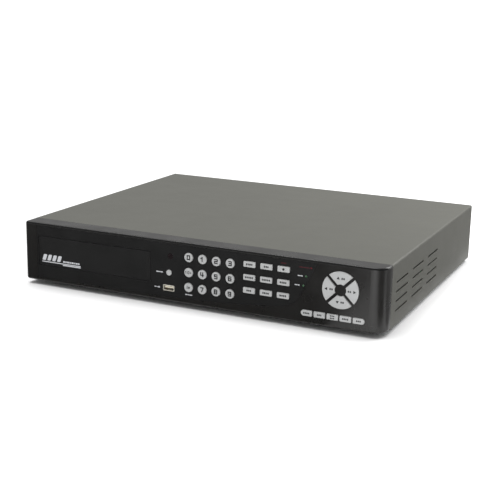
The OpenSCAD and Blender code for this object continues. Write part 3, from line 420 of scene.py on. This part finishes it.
def word(x, z, lengths, height):
    """Marks the size of a short printed word: dashes of the given lengths, centred on x."""
    gap = height * 0.28
    left = x - (sum(lengths) + gap * (len(lengths) - 1)) / 2
    marks = []
    for length in lengths:
        marks.append(stroke(left + length / 2, z, length, height))
        left += length + gap
    return marks


def stamp(name, outlines, face_y, side, material, body="case"):
    """Prints outlines in (x, z) on a face at face_y that looks to the given side."""
    shape = bmesh.new()
    for outline in outlines:
        prism(shape, outline, face_y + side * INK_T, face_y - side * INK_T)
    return piece(name, shape, material, body)


# Centre lines of the figures in a box 1 wide and 2 high
FIGURES = {
    "0": [[(0, 0), (1, 0), (1, 2), (0, 2), (0, 0)]],
    "1": [[(0.05, 1.55), (0.5, 2), (0.5, 0)]],
    "2": [[(0, 2), (1, 2), (1, 1), (0, 1), (0, 0), (1, 0)]],
    "3": [[(0, 2), (1, 2), (1, 0), (0, 0)], [(0.25, 1), (1, 1)]],
    "4": [[(0, 2), (0, 0.7), (1, 0.7)], [(0.8, 2), (0.8, 0)]],
    "5": [[(1, 2), (0, 2), (0, 1.1), (1, 1.1), (1, 0), (0, 0)]],
    "6": [[(1, 2), (0, 2), (0, 0), (1, 0), (1, 1.05), (0, 1.05)]],
    "7": [[(0, 2), (1, 2), (0.45, 0)]],
    "8": [[(0, 0), (1, 0), (1, 2), (0, 2), (0, 0)], [(0, 1), (1, 1)]],
    "9": [[(0, 0), (1, 0), (1, 2), (0, 2), (0, 0.95), (1, 0.95)]],
    "+": [[(0, 1), (1, 1)], [(0.5, 0.5), (0.5, 1.5)]],
}


def bar(start, end, thick):
    """A straight bar between two points in (x, z), running half its thickness past each."""
    along = (Vector(end) - Vector(start)).normalized() * thick / 2
    across = Vector((-along.y, along.x))
    a, b = Vector(start) - along, Vector(end) + along
    return [tuple(a - across), tuple(b - across), tuple(b + across), tuple(a + across)]


def figures(text, height, weight, x, z, side=FRONT):
    """Outlines of figures centred on (x, z). Their lines are weight times their height thick."""
    thick = height * weight
    rise = (height - thick) / 2
    wide = rise * 1.45
    step = wide + thick * 2
    outlines = []
    for i, letter in enumerate(text):
        left = -step * (len(text) - 1) / 2 + step * i - wide / 2
        for line in FIGURES[letter]:
            places = [(x - side * (left + u * wide), z + (v - 1) * rise) for u, v in line]
            outlines += [bar(a, b, thick) for a, b in zip(places, places[1:])]
    return outlines


def key_face(name):
    """x, y and z of the middle of a key's printed face."""
    return middle(name).x, low(name).y, middle(name).z


def print_number_keys():
    """Figures on the round keys, and a plain mark on the last of them."""
    texts = {f"number_key_{i}": str(i) for i in range(10)}
    texts["tens_key"] = "10+"
    for name, text in texts.items():
        x, y, z = key_face(name)
        height, weight = (2.9, 0.2) if len(text) > 1 else (5.3, 0.22)
        outlines = figures(text, height, weight, x, z)
        stamp(f"figure_{name}", outlines, y, FRONT, grey_ink, name)
    x, y, z = key_face("auxiliary_key")
    marks = [stroke(x - 1.3, z, 0.8, 3.6), triangle(x + 0.9, z, 1.7, 0)]
    stamp("symbol_auxiliary_key", marks, y, FRONT, grey_ink, "auxiliary_key")


# Dash lengths on the rectangular keys, of which the third has a dot, and on the keys in the row
FUNCTION_WORDS = [(1.5, 1.1, 1.7, 1.3), (1.3, 1.5, 1.2), (), (1.6, 1.2, 1.4, 1.5, 1.1),
                  (1.2, 1.6, 1.4, 1.2, 1.5), (1.4, 1.3, 1.6, 1.2), (1.5, 1.2, 1.4),
                  (1.3, 1.5, 1.1, 1.6), (1.6, 1.3, 1.2, 1.4)]
MODE_WORDS = [(1.3, 1.1, 1.4, 1.2), (1.2, 1.4, 1.1), (1.4, 1.2, 1.3), (1.1, 1.3, 1.2, 1.4),
              (1.4, 1.2, 1.3)]


def print_bar_keys():
    """Dashes on the rectangular keys and on the row of five, the middle one with two lines."""
    for i, lengths in enumerate(FUNCTION_WORDS):
        name = f"function_key_{i + 1}"
        x, y, z = key_face(name)
        marks = word(x, z, lengths, 2) if lengths else [disc(x, z, 1.3)]
        stamp(f"symbol_{name}", marks, y, FRONT, grey_ink, name)
    for i, lengths in enumerate(MODE_WORDS):
        name = f"mode_key_{i + 1}"
        x, y, z = key_face(name)
        if i == 2:
            marks = word(x, z + 1.2, lengths, 1.4) + word(x, z - 1.2, lengths[::-1], 1.4)
        else:
            marks = word(x, z, lengths, 1.8)
        stamp(f"symbol_{name}", marks, y, FRONT, grey_ink, name)


def print_arrow_keys():
    """An arrow and two dashes on each key of the ring."""
    turns = {"up_key": 90, "left_key": 180, "down_key": -90, "right_key": 0}
    spread = 2.6
    for name, turn in turns.items():
        x, y, z = key_face(name)
        lead = spread if name == "right_key" else -spread
        marks = [triangle(x + lead, z, 1.9, turn), *word(x - lead, z, (1.4, 1.5), 2)]
        stamp(f"symbol_{name}", marks, y, FRONT, grey_ink, name)


# Labels on the inlaid sheet: middle in x, height over the case's bottom, dashes and their height
EJECT_LABEL = (-38.8, 32, (3.4, 1.6, 2.6), 1.1)
RED_LAMP_LABEL = (128.7, 59.1, (4.4, 2.6, 3.8), 0.95)
GREEN_LAMP_LABELS = [(124.5, 49.9, (2.4, 2.8), 0.95), (121.4, 39.9, (3.0, 2.2), 0.95)]
RED_KEY_LABEL = (106, 2.6, (2.2, 3.0), 1.1)  # its height is over the key's top instead
EMBLEM_AT = (-192, 24)  # the lower left corner of the emblem
PORT_MARK_AT = (-42.4, 14.8)


def label(x, up, lengths, height):
    """A word at a height over the bottom of the case."""
    return word(x, case_z + up, lengths, height)


def print_emblem():
    """Four slanted bars, a short line of dashes and two strokes under them, on the fascia."""
    left, base = EMBLEM_AT[0], case_z + EMBLEM_AT[1]
    bars = [stroke(left + 3.8 + 6.6 * i, base + 4.9, 4.6, 7, lean=2.4) for i in range(4)]
    dashes = word(left + 39.5, base + 2.4, (2.4, 1.8, 2.6, 2.2, 3, 1.8, 2.4, 2), 1.9)
    underline = [stroke(left + 26, base - 0.2, 52, 1.0), stroke(left + 40, base - 1.7, 24, 1.3)]
    stamp("fascia_marks", bars + dashes + underline, low("tray_fascia").y, FRONT, white_ink,
          "disc_tray")


def print_sheet():
    """The white and the dark red labels on the inlaid sheet."""
    sheet_y = low("front_overlay").y
    labels = label(middle("auxiliary_key").x, 11, (2.6, 1.8, 3.4), 1.1) + label(*EJECT_LABEL)
    x, z = PORT_MARK_AT[0], case_z + PORT_MARK_AT[1]
    labels += [stroke(x, z, 3.6, 0.6), stroke(x + 3, z, 1.8, 1.8), disc(x - 1.9, z, 0.7)]
    stamp("sheet_labels", labels, sheet_y, FRONT, white_ink)
    stamp("red_lamp_label", label(*RED_LAMP_LABEL), sheet_y, FRONT, red_ink)
    green = [mark for spot in GREEN_LAMP_LABELS for mark in label(*spot)]
    stamp("green_lamp_labels", green, sheet_y, FRONT, white_ink)
    x, up, lengths, height = RED_KEY_LABEL
    red = word(x, high("function_key_3").z + up, lengths, height)
    stamp("red_key_label", red, sheet_y, FRONT, red_ink)


# ---------------------------------------------------------------- fittings

# Middles of the rear fittings: x, and height over the bottom of the case
VIDEO_SPOTS = [(x, z) for x in (-14, *range(8, 121, 16)) for z in (18, 38)]
AUDIO_SPOTS = [(x, z) for x in (140, 154, 168) for z in (18, 34)]
VGA_AT = (-44, 18)
VGA_INSERT = (8.6, 4.4)  # half its width and half its height
NETWORK_AT = (-75, 15.6)
ALARM_AT = (189, 16.5)
ALARM_WAYS = 8
ALARM_PITCH = 3.5
INLET_AT = (-180, 26)
INLET_PINS = [(-7, -2), (0, 2), (7, -2)]
ROCKER_AT = (-148, 26)
FAN_AT = (-112, 36)
USB_AT = (-27.4, 15.1)  # on the front
TONGUE_UP = 0.8  # the front port's tongue over the middle of its mouth
HEAT_SINK = (44, 52, 20.5)  # x, y and half its width
CLOCK_CELL = (-40, 60, 10.5)  # x, y and its radius
BOARD_T = 1.8
VIDEO_CORE_R = 2.45  # the insulators in the video and the audio jacks
AUDIO_CORE_R = 2.65
VIDEO_MOUTH = 8.7  # how far the contacts stand out behind the rear panel
AUDIO_MOUTH = 8.4
VGA_MOUTH = 4.2
ROCKER_TILT = 12  # degrees from the middle at either end
ROCKER_FACE = 3  # from the rocker's axis to the fold of its face
ROCKER_PIVOT_IN = 0.6  # the axis inside the rear panel's face


def off_axis(at, spots):
    """How far a point in the plane of the rear panel is from the nearest of some middles."""
    return min(math.hypot(at.x - x, at.z - case_z - z) for x, z in spots)


def within(at, middle_at, half_width, half_height):
    return (abs(at.x - middle_at[0]) < half_width
            and abs(at.z - case_z - middle_at[1]) < half_height)


def paint_fittings():
    """The insulators, pins and packages that a single CAD node holds with its metal or board."""
    repaint("video_jacks", cream_plastic,
            lambda at, normal: off_axis(at, VIDEO_SPOTS) < VIDEO_CORE_R)
    lower, upper = AUDIO_SPOTS[::2], AUDIO_SPOTS[1::2]
    repaint("audio_jacks", red_plastic, lambda at, normal: off_axis(at, lower) < AUDIO_CORE_R)
    repaint("audio_jacks", cream_plastic, lambda at, normal: off_axis(at, upper) < AUDIO_CORE_R)
    repaint("vga_port", blue_plastic, lambda at, normal: within(at, VGA_AT, *VGA_INSERT))
    pins = [(INLET_AT[0] + x, INLET_AT[1] + z) for x, z in INLET_PINS]
    repaint("ac_inlet", brass_pin, lambda at, normal: any(within(at, pin, 1.1, 2.1) for pin in pins))
    tongue = (USB_AT[0], USB_AT[1] + TONGUE_UP)
    repaint("front_usb_port", tin_plate, lambda at, normal: at.y < front_y + 3)
    repaint("front_usb_port", cream_plastic, lambda at, normal: within(at, tongue, 5.5, 0.95))
    board_top = low("main_board").z + BOARD_T
    x, y, reach = HEAT_SINK
    cell_x, cell_y, cell_r = CLOCK_CELL
    repaint("main_board", black_plastic, lambda at, normal: at.z > board_top)
    repaint("main_board", finishes["drive_casting"], lambda at, normal: at.z > board_top
            and abs(at.x - x) < reach and abs(at.y - y) < reach)
    repaint("main_board", finishes["connector_steel"], lambda at, normal: at.z > board_top
            and math.hypot(at.x - cell_x, at.y - cell_y) < cell_r)
    supply_top = low("power_supply").z + BOARD_T
    repaint("power_supply", black_plastic, lambda at, normal: at.z > supply_top)


def ribbon(shape, outline, x, width):
    """Adds the solid that an outline in (y, z) makes over a width along X, in millimetres."""
    rings = [[shape.verts.new(((x + side * width / 2) * MM, y * MM, z * MM)) for y, z in outline]
             for side in (-1, 1)]
    shape.faces.new(rings[0])
    shape.faces.new(rings[1][::-1])
    for i in range(len(outline)):
        j = (i + 1) % len(outline)
        shape.faces.new((rings[0][i], rings[1][i], rings[1][j], rings[0][j]))


def tube(shape, face_y, length, outer, inner, x, z):
    """Adds a ring-ended contact that runs in from a face on the rear."""
    back = face_y - length
    lathe(shape, [(outer, back), (outer, face_y - 0.1), (outer - 0.1, face_y), (inner, face_y),
                  (inner, back)], x, z, 12)


def make_rear_contacts():
    """The contacts of the video, audio, display and network sockets."""
    shape = bmesh.new()
    for x, z in VIDEO_SPOTS:
        tube(shape, rear_y + VIDEO_MOUTH, 6, 0.62, 0.3, x, case_z + z)
    piece("video_contacts", shape, gold_contact)
    shape = bmesh.new()
    for x, z in AUDIO_SPOTS:
        tube(shape, rear_y + AUDIO_MOUTH, 6, 1.55, 1.3, x, case_z + z)
    piece("audio_contacts", shape, finishes["jack_nickel"])
    shape = bmesh.new()
    for row in (-1, 0, 1):
        for i in range(-2, 3):
            tube(shape, rear_y + VGA_MOUTH, 5, 0.42, 0.22, VGA_AT[0] + 2.3 * (i + 0.26 * row),
                 case_z + VGA_AT[1] + 2 * row)
    piece("display_contacts", shape, gold_contact)
    shape = bmesh.new()
    x, z = NETWORK_AT[0], case_z + NETWORK_AT[1]
    thick = 0.3
    path = [(rear_y - 2.2, z + 2.9), (rear_y - 3.2, z + 2.7), (rear_y - 10.5, z - 0.4),
            (rear_y - 12.4, z - 0.6)]
    outline = path + [(y, up - thick) for y, up in path[::-1]]
    for i in range(8):
        ribbon(shape, outline, x + 1.02 * (i - 3.5), 0.42)
    piece("network_contacts", shape, gold_contact)


def make_usb_contacts():
    """Four flat contacts under the tongue of the front port."""
    shape = bmesh.new()
    under = case_z + USB_AT[1] + TONGUE_UP - 0.85
    outline = [(front_y + 2.2, under), (front_y + 1.9, under - 0.1), (front_y + 2.2, under - 0.2),
               (front_y + 8.5, under - 0.2), (front_y + 8.5, under)]
    for offset, width in ((-3.5, 1.1), (-1, 0.9), (1, 0.9), (3.5, 1.1)):
        ribbon(shape, outline, USB_AT[0] + offset, width)
    piece("usb_contacts", shape, gold_contact)


def rounded(x, z, width, height, radius):
    """A rectangle with round corners, centred on (x, z)."""
    steps = 5
    points = []
    for turn, (side, end) in enumerate(((1, 1), (-1, 1), (-1, -1), (1, -1))):
        for i in range(steps + 1):
            angle = math.pi / 2 * (turn + i / steps)
            points.append((x + side * (width / 2 - radius) + radius * math.cos(angle),
                           z + end * (height / 2 - radius) + radius * math.sin(angle)))
    return points


def collar(shape, outer, inner, face_y, back_y):
    """Adds a flat ring between two outlines with as many points, its outer edge eased."""
    eased = [(a * 0.8 + c * 0.2, b * 0.8 + d * 0.2) for (a, b), (c, d) in zip(outer, inner)]
    ease = (face_y - back_y) * 0.4
    profile = [(outer, back_y), (outer, face_y - ease), (eased, face_y), (inner, face_y),
               (inner, back_y)]
    rings = [[shape.verts.new((x * MM, y * MM, z * MM)) for x, z in outline]
             for outline, y in profile]
    for i in range(len(outer)):
        j = (i + 1) % len(outer)
        for here, there in zip(rings, rings[1:] + rings[:1]):
            shape.faces.new((here[i], here[j], there[j], there[i]))


def make_usb_lip():
    """The flared steel lip round the mouth of the front port."""
    shape = bmesh.new()
    x, z = USB_AT[0], case_z + USB_AT[1]
    collar(shape, rounded(x, z, 13.9, 6.5, 1.1), rounded(x, z, 12, 4.6, 0.5), front_y - 0.3,
           front_y + 0.2)
    piece("usb_lip", shape, tin_plate)


def half_disc(x, z, radius, gap, side):
    """The part of a disc over or under a slot that is twice gap wide."""
    start = math.asin(gap / radius)
    turns = [start + (math.pi - 2 * start) * i / 10 for i in range(11)]
    return [(x + radius * math.cos(t), z + side * radius * math.sin(t)) for t in turns]


def make_terminal_screws():
    """A slotted screw over each wire mouth of the alarm terminal."""
    shape = bmesh.new()
    seat = rear_y + 4.05
    for i in range(ALARM_WAYS):
        x = ALARM_AT[0] + (i - (ALARM_WAYS - 1) / 2) * ALARM_PITCH
        z = case_z + ALARM_AT[1] + 4
        prism(shape, disc(x, z, 1.15), seat, seat + 0.5)
        for side in (-1, 1):
            prism(shape, half_disc(x, z, 1.15, 0.2, side), seat + 0.5, seat + 1.1)
    piece("terminal_screws", shape, finishes["screw_steel"])


def make_fan_label():
    """A plain round label on the hub, which turns with the fan."""
    x, z, face = FAN_AT[0], case_z + FAN_AT[1], high("fan_rotor").y
    shape = bmesh.new()
    lathe(shape, [(3.2, face), (9, face), (9, face + 0.03), (8.9, face + 0.05),
                  (3.3, face + 0.05), (3.2, face + 0.03)], x, z, 40)
    piece("fan_label", shape, label_paper, "fan_rotor")
    marks = word(x, z + 6.4, (2.2, 1.6, 2.4), 0.9) + word(x, z - 5.4, (3, 2.2, 1.8), 0.8)
    marks += word(x, z - 6.9, (1.8, 2.4), 0.8)
    stamp("fan_label_marks", marks, face + 0.05, REAR, grey_ink, "fan_rotor")


def mark_rocker():
    """A ring on the half that is pressed for off, and a bar on the half for on."""
    rest = math.radians(ROCKER_TILT)
    x = ROCKER_AT[0]
    fold_y = rear_y - ROCKER_PIVOT_IN + ROCKER_FACE * math.cos(rest)
    fold_z = case_z + ROCKER_AT[1] + ROCKER_FACE * math.sin(rest)
    shape = bmesh.new()
    prism(shape, stroke(x, fold_z - 3.8, 0.8, 3.4), fold_y + INK_T, fold_y - INK_T)
    bmesh.ops.rotate(shape, verts=shape.verts, cent=Vector((x, fold_y, fold_z)) * MM,
                     matrix=Matrix.Rotation(2 * rest, 3, "X"))
    lathe(shape, [(1.7, fold_y - INK_T), (1.7, fold_y + INK_T), (1.25, fold_y + INK_T),
                  (1.25, fold_y - INK_T)], x, fold_z + 4)
    piece("rocker_marks", shape, white_ink, "power_rocker")


def frame_line(left, right, bottom, top):
    """Four thin strokes round a group of fittings."""
    thick = 0.35
    x, z = (left + right) / 2, (bottom + top) / 2
    return [stroke(x, bottom, right - left, thick), stroke(x, top, right - left, thick),
            stroke(left, z, thick, top - bottom), stroke(right, z, thick, top - bottom)]


# Labels on the rear panel, in the same terms as those on the sheet
REAR_LABELS = [
    (64, 54, (4.4, 3.6, 2.8), 1.8),
    (VIDEO_SPOTS[0][0], 47, (3.2, 2.4, 3), 1.5),
    *[(x, up + 8.4, (2.2, 2.8), 1.3) for x, up in AUDIO_SPOTS[1::2]],
    (154, 47, (3.4, 2.8, 3.8), 1.6),
    (ALARM_AT[0], 28, (3.2, 2.4, 3.6), 1.5),
    (VGA_AT[0], 28, (2.8, 3.2), 1.5),
    (NETWORK_AT[0], 28, (2.6, 2.2, 3), 1.5),
    (INLET_AT[0], 43, (3.2, 2.2, 3.6), 1.6),
]
# The left, right, lower and upper lines round the video inputs and round the audio sockets
REAR_FRAMES = [(-0.5, 128.5, 9.5, 51), (132.5, 175, 9.5, 51)]


def print_rear():
    """The channel numbers and plain dashes where the rear panel names its fittings."""
    marks = []
    for left, right, lower, upper in REAR_FRAMES:
        marks += frame_line(left, right, case_z + lower, case_z + upper)
    inputs = [x for x, z in VIDEO_SPOTS[2::2]]
    for i, x in enumerate(inputs[::-1]):
        marks += figures(str(i + 1), 2.8, 0.16, x, case_z + 47, REAR)
        marks += figures(str(i + 9), 2.8, 0.16, x, case_z + 28, REAR)
    for spot in REAR_LABELS:
        marks += label(*spot)
    stamp("rear_marks", marks, rear_y, REAR, rear_ink)


# ---------------------------------------------------------------- stage, lights, camera


def sheet(name, material, faces):
    """A sheet of the studio from its faces' corners, in metres."""
    shape = bmesh.new()
    for corners in faces:
        shape.faces.new([shape.verts.new(corner) for corner in corners])
    mesh = bpy.data.meshes.new(name)
    shape.to_mesh(mesh)
    shape.free()
    mesh.materials.append(material)
    made = bpy.data.objects.new(name, mesh)
    bpy.context.scene.collection.objects.link(made)
    return made


def paper(name, **constants):
    """White studio paper, a little uneven in tone and gloss."""
    f = Finish(name, Specular_IOR_Level=0.2, **constants)
    body = f.toned((0.9, 0.9, 0.9, 1), f.fit(f.noise(400, 2), 0.3, 0.7, 0.99, 1.01))
    return f.finish(body, f.fit(f.noise(200, 2), 0.3, 0.7, 0.8, 0.9), None)


def make_stage():
    """A plain pale floor, and low pale walls round it that light and reflections pass."""
    reach, rise = 20, 5
    edge = [(-reach, -reach), (reach, -reach), (reach, reach), (-reach, reach)]
    sheet("floor", paper("floor_paper"), [[(x, y, 0) for x, y in edge]])
    walls = [[(*near, 0), (*far, 0), (*far, rise), (*near, rise)]
             for near, far in zip(edge, edge[1:] + edge[:1])]
    material = paper("wall_paper", Emission_Color=(1, 1, 1, 1), Emission_Strength=0.35)
    wall = sheet("low_walls", material, walls)
    wall.visible_diffuse = wall.visible_glossy = wall.visible_shadow = False


def softbox(name, at, target, size, brightness):
    """A soft rectangular light at a place in metres, aimed at a target, of a given radiance."""
    light = bpy.data.lights.new(name, "AREA")
    light.shape = "RECTANGLE"
    light.size, light.size_y = size
    light.energy = math.pi * size[0] * size[1] * brightness
    lamp = bpy.data.objects.new(name, light)
    lamp.location = at
    lamp.rotation_mode = "QUATERNION"
    lamp.rotation_quaternion = (Vector(target) - Vector(at)).to_track_quat("-Z", "Y")
    lamp.visible_camera = False
    bpy.context.scene.collection.objects.link(lamp)


ROOM_LIGHT = 0.5  # radiance of the white room all round
OVERHEAD_LIGHT = 0.85  # what the overhead panel adds to a white floor
OVERHEAD_WIDTH = 44  # degrees across, as the object sees it
OVERHEAD_TILT = -14  # degrees from straight above
BLACK_CARD, GREY_CARD = 14, 112  # display tones, 0 to 255
CARD_LIFT = 0.001  # a lying card over the floor


def dull_card(name, grey, corners):
    """A dull card that only reflections see, as a photographer's flag."""
    f = Finish(name, Specular_IOR_Level=0.0)
    felt = f.toned(shade(grey, grey, grey), f.fit(f.noise(40, 2), 0.3, 0.7, 0.9, 1.1))
    material = f.finish(felt, 0.9, f.relief(f.noise(2, 2), 0.1))
    card = sheet(name, material, [corners])
    card.visible_camera = card.visible_diffuse = card.visible_shadow = False


def lying(spots):
    """The corners of a card that lies on the floor."""
    return [(x, y, CARD_LIFT) for x, y in spots]


def make_lights():
    """A white room, a wide overhead panel, a front strip, a rear panel and four dull cards."""
    world = bpy.data.worlds.new("studio")
    world.use_nodes = True
    background = world.node_tree.nodes["Background"]
    background.inputs["Color"].default_value = (1, 1, 1, 1)
    background.inputs["Strength"].default_value = ROOM_LIGHT
    bpy.context.scene.world = world
    panel = bpy.data.lights.new("overhead_panel", "SUN")
    panel.energy = math.pi * OVERHEAD_LIGHT
    panel.angle = math.radians(OVERHEAD_WIDTH)
    overhead = bpy.data.objects.new("overhead_panel", panel)
    overhead.rotation_euler = (0, math.radians(OVERHEAD_TILT), 0)
    bpy.context.scene.collection.objects.link(overhead)
    softbox("front_strip", (0.34, -0.85, 0.07), (0.2, -0.18, 0.04), (0.14, 0.12), 9)
    softbox("rear_right_panel", (0.5, 0.4, 0.55), (0.2, 0.12, 0.05), (0.5, 0.4), 6)
    dull_card("floor_card", BLACK_CARD,
              lying([(-1.4, -1.4), (0.15, -1.4), (0.15, -0.184), (-1.4, -0.184)]))
    dull_card("corner_card", BLACK_CARD,
              [(0.68, -0.92, 0), (1.1, -0.25, 0), (1.1, -0.25, 0.7), (0.68, -0.92, 0.7)])
    dull_card("corner_floor_card", BLACK_CARD,
              lying([(0.24, -0.2), (0.68, -0.92), (1.1, -0.25), (0.27, -0.17)]))
    dull_card("side_floor_card", GREY_CARD,
              lying([(0.23, -0.15), (1.1, -0.1), (1.1, 1.2), (0.23, 1.2)]))


CAMERA_YAW, CAMERA_PITCH, CAMERA_ROLL = 24.66, 14.42, 1.2  # degrees
CAMERA_LENS = 76.05  # millimetres
CAMERA_AT = (507.15, -956.53, 340.19)  # from the middle of the front face's lower edge


def make_camera():
    yaw, pitch, roll = (math.radians(a) for a in (CAMERA_YAW, CAMERA_PITCH, CAMERA_ROLL))
    back = Vector((math.sin(yaw) * math.cos(pitch), -math.cos(yaw) * math.cos(pitch),
                   math.sin(pitch)))
    level = (-back).cross(Vector((0, 0, 1))).normalized()
    upward = level.cross(-back)
    right = math.cos(roll) * level + math.sin(roll) * upward
    up = math.cos(roll) * upward - math.sin(roll) * level
    data = bpy.data.cameras.new("camera")
    data.lens = CAMERA_LENS
    camera = bpy.data.objects.new("camera", data)
    place = (Vector(CAMERA_AT) + Vector((0, front_y, case_z))) * MM
    turn = Matrix((right, up, back)).transposed().to_4x4()
    camera.matrix_world = Matrix.Translation(place) @ turn
    bpy.context.scene.collection.objects.link(camera)
    bpy.context.scene.camera = camera


dress()
paint_front()
print_number_keys()
print_bar_keys()
print_arrow_keys()
print_emblem()
print_sheet()
paint_fittings()
make_rear_contacts()
make_usb_contacts()
make_usb_lip()
make_terminal_screws()
make_fan_label()
mark_rocker()
print_rear()
make_stage()
make_lights()
make_camera()
bpy.context.scene.view_settings.view_transform = "Standard"
